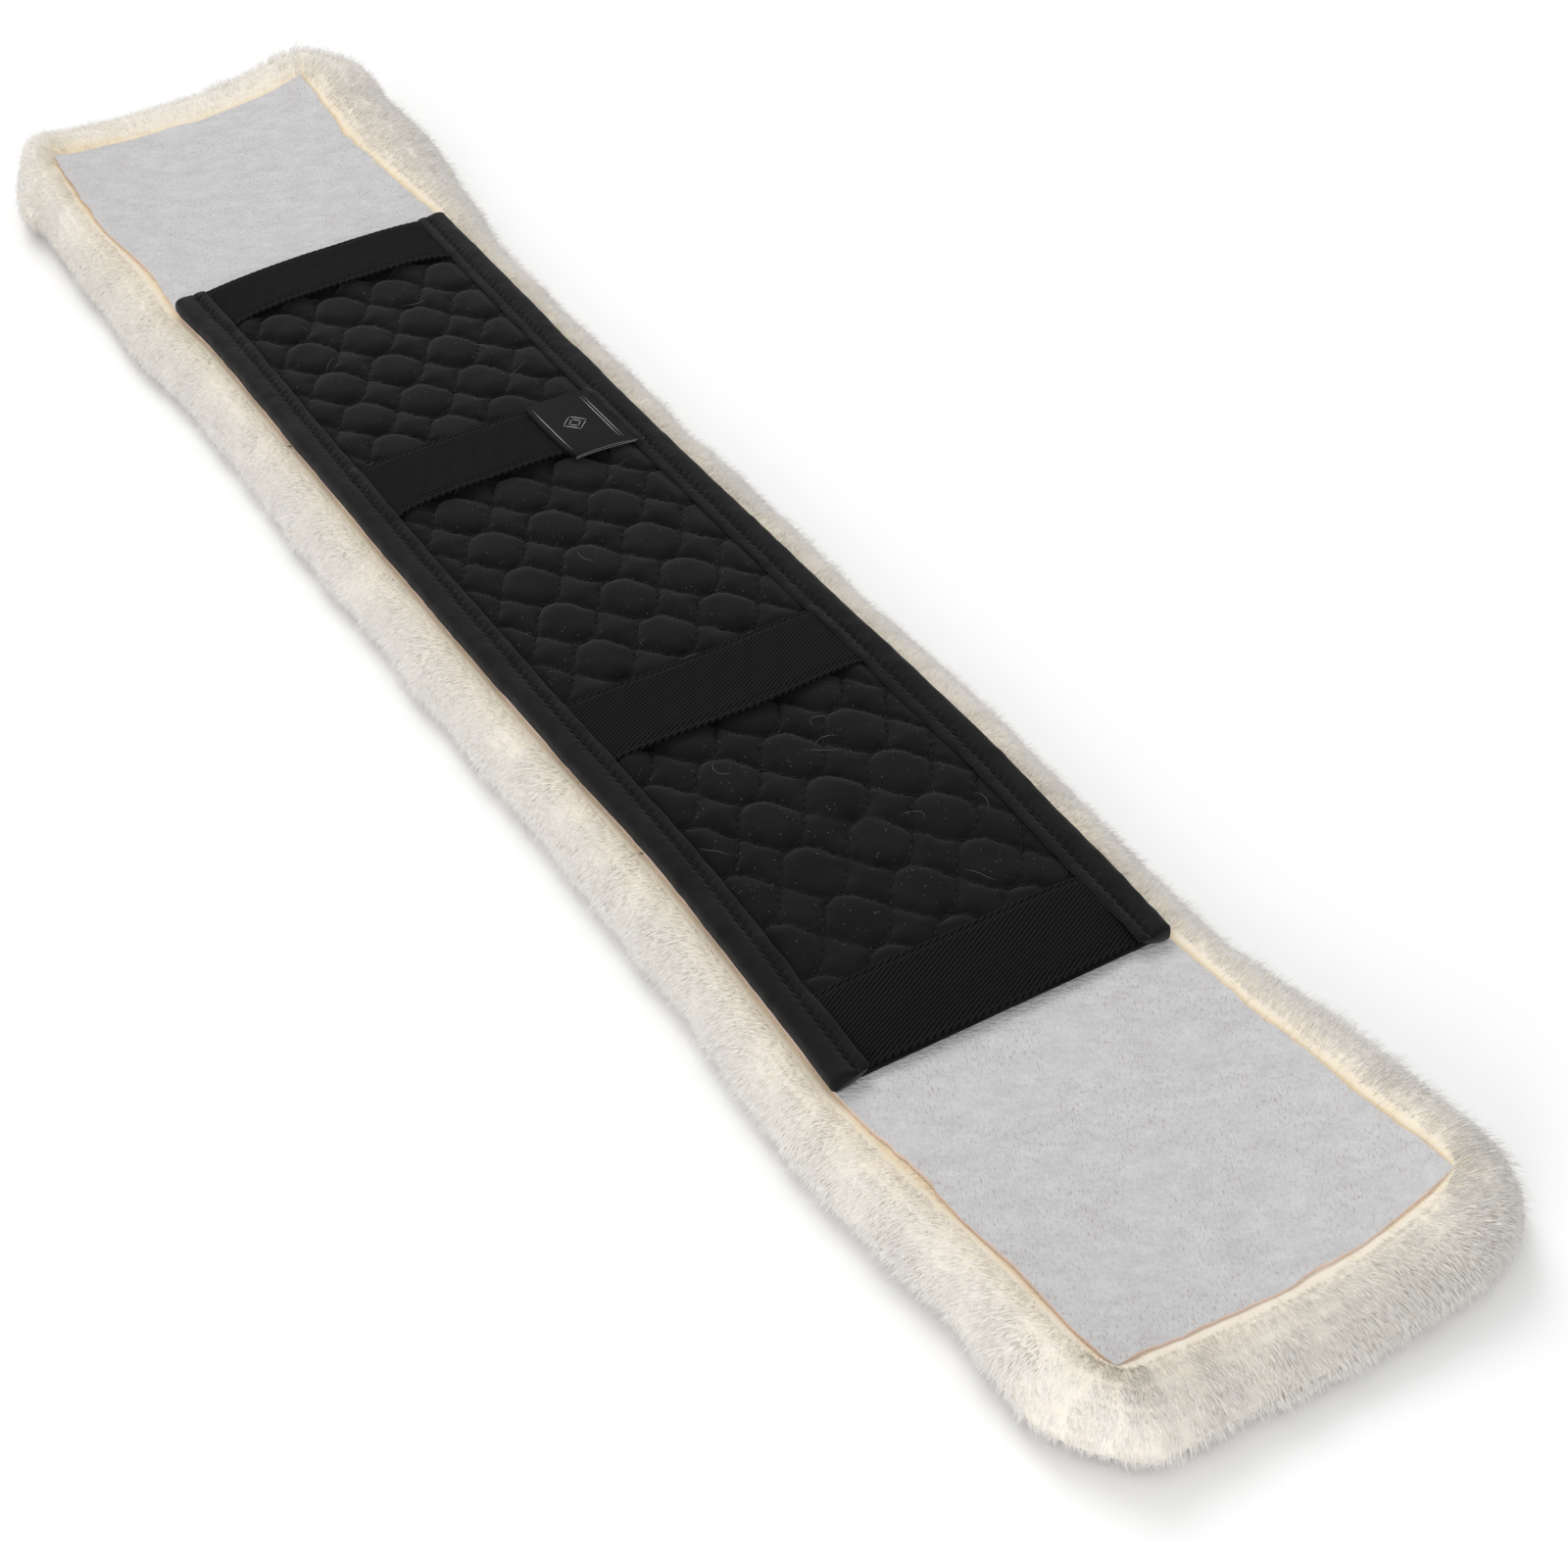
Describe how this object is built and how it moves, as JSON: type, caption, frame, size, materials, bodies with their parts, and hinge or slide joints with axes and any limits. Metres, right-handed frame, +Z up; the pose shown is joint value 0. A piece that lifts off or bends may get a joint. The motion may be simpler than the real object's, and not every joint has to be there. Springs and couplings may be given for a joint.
{
  "type": "lambskin girth sleeve",
  "caption": "Soft sleeve of lambskin with a quilted cotton panel, folded side bindings and elastic bands that hold a saddle girth against the leather side.",
  "frame": {"origin": "centre of the sleeve's outline on the surface it rests on, wool side down", "axes": "+X across the width, to the side with the label; +Y along the length, to the longer leather flap; +Z up, out of the quilted side"},
  "size_m": [0.176, 0.855, 0.0351],
  "materials": {
    "wool": "dense combed lambswool pile, cream at the root and nearly white at the tips",
    "suede": "pale grey suede flesh side of the lambskin, fine nap with flecks, pinkish cut edge",
    "backing_cloth": "thin black woven backing",
    "wadding": "white polyester wadding",
    "quilt_cotton": "matt black brushed cotton twill, quilted",
    "thread": "black sewing thread",
    "binding_cotton": "matt black cotton twill strip folded in two",
    "elastic": "black woven elastic webbing with fine slanting ribs",
    "label_satin": "black woven satin with pale woven marks and a pale grey inside"
  },
  "bodies": {
    "panel_far": {"wool_panel_far": "wool", "leather_panel_far": "suede", "backing_cloth_far": "backing_cloth", "wadding_far": "wadding", "quilt_cloth_far": "quilt_cotton", "quilt_thread_far": "thread", "binding_left_far": "binding_cotton", "binding_right_far": "binding_cotton", "binding_thread_left_far": "thread", "binding_thread_right_far": "thread", "elastic_1_sewn_ends": "elastic", "elastic_2_sewn_ends": "elastic", "label_sewn_ends": "label_satin"},
    "panel_near": {"wool_panel_near": "wool", "leather_panel_near": "suede", "backing_cloth_near": "backing_cloth", "wadding_near": "wadding", "quilt_cloth_near": "quilt_cotton", "quilt_thread_near": "thread", "binding_left_near": "binding_cotton", "binding_right_near": "binding_cotton", "binding_thread_left_near": "thread", "binding_thread_right_near": "thread", "elastic_3_sewn_ends": "elastic", "elastic_4_sewn_ends": "elastic"},
    "far_flap": {"wool_far_flap": "wool", "leather_far_flap": "suede"},
    "near_flap": {"wool_near_flap": "wool", "leather_near_flap": "suede"},
    "elastic_span_1": {"elastic_1": "elastic"},
    "elastic_span_2": {"elastic_2": "elastic"},
    "elastic_span_3": {"elastic_3": "elastic"},
    "elastic_span_4": {"elastic_4": "elastic"},
    "label_tab": {"label": "label_satin"}
  },
  "joints": [
    {"name": "centre_fold", "type": "hinge", "parent": "panel_far", "child": "panel_near", "pos_m": [0, -0.012, 0.02075], "axis": [-1, 0, 0], "range_deg": [-45, 50]},
    {"name": "far_flap_fold", "type": "hinge", "parent": "panel_far", "child": "far_flap", "pos_m": [0, 0.2725, 0.02075], "axis": [1, 0, 0], "range_deg": [-45, 75]},
    {"name": "near_flap_fold", "type": "hinge", "parent": "panel_near", "child": "near_flap", "pos_m": [0, -0.2965, 0.02075], "axis": [-1, 0, 0], "range_deg": [-45, 75]},
    {"name": "elastic_1_stretch", "type": "slide", "parent": "panel_far", "child": "elastic_span_1", "axis": [0, 0, 1], "range_m": [0, 0.014], "stiffness_N_per_m": 60, "springref_m": -0.003},
    {"name": "elastic_2_stretch", "type": "slide", "parent": "panel_far", "child": "elastic_span_2", "axis": [0, 0, 1], "range_m": [0, 0.014], "stiffness_N_per_m": 60, "springref_m": -0.003},
    {"name": "elastic_3_stretch", "type": "slide", "parent": "panel_near", "child": "elastic_span_3", "axis": [0, 0, 1], "range_m": [0, 0.014], "stiffness_N_per_m": 60, "springref_m": -0.003},
    {"name": "elastic_4_stretch", "type": "slide", "parent": "panel_near", "child": "elastic_span_4", "axis": [0, 0, 1], "range_m": [0, 0.014], "stiffness_N_per_m": 60, "springref_m": -0.003},
    {"name": "label_flip", "type": "hinge", "parent": "panel_far", "child": "label_tab", "pos_m": [0.0486, 0.0705, 0.0292], "axis": [0, 1, 0], "range_deg": [0, 130]}
  ]
}
